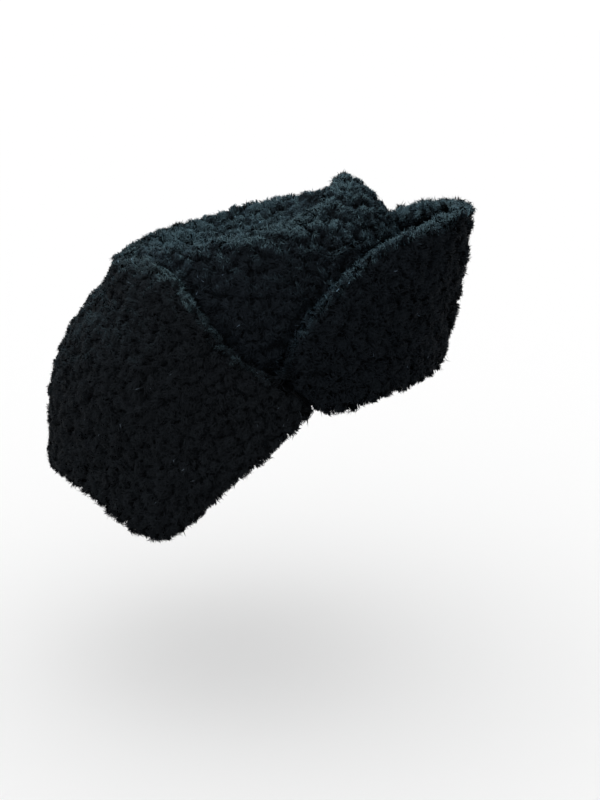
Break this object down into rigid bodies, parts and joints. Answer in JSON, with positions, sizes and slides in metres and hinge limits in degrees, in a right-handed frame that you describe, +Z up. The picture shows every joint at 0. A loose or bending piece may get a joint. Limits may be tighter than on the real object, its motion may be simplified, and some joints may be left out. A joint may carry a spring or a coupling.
{
  "type": "ushanka",
  "caption": "Black pile winter hat with a soft hollow crown, a turned-up front visor and a wraparound ear and neck flap that hangs below the rim.",
  "frame": {"origin": "middle of the head opening at the rim, where the hat sits on a head", "axes": "+Z up on an upright head, -Y towards the face, +X towards the wearer's left; the hat is tilted back as it is worn"},
  "size_m": [0.2442, 0.298, 0.2221],
  "materials": {
    "crown_pile": "short curly pile, blue-black",
    "visor_pile": "short curly pile, blue-black",
    "flap_pile": "short curly pile, blue-black"
  },
  "bodies": {
    "root": {"crown": "crown_pile", "visor": "visor_pile", "ear_neck_flap": "flap_pile"}
  },
  "joints": []
}
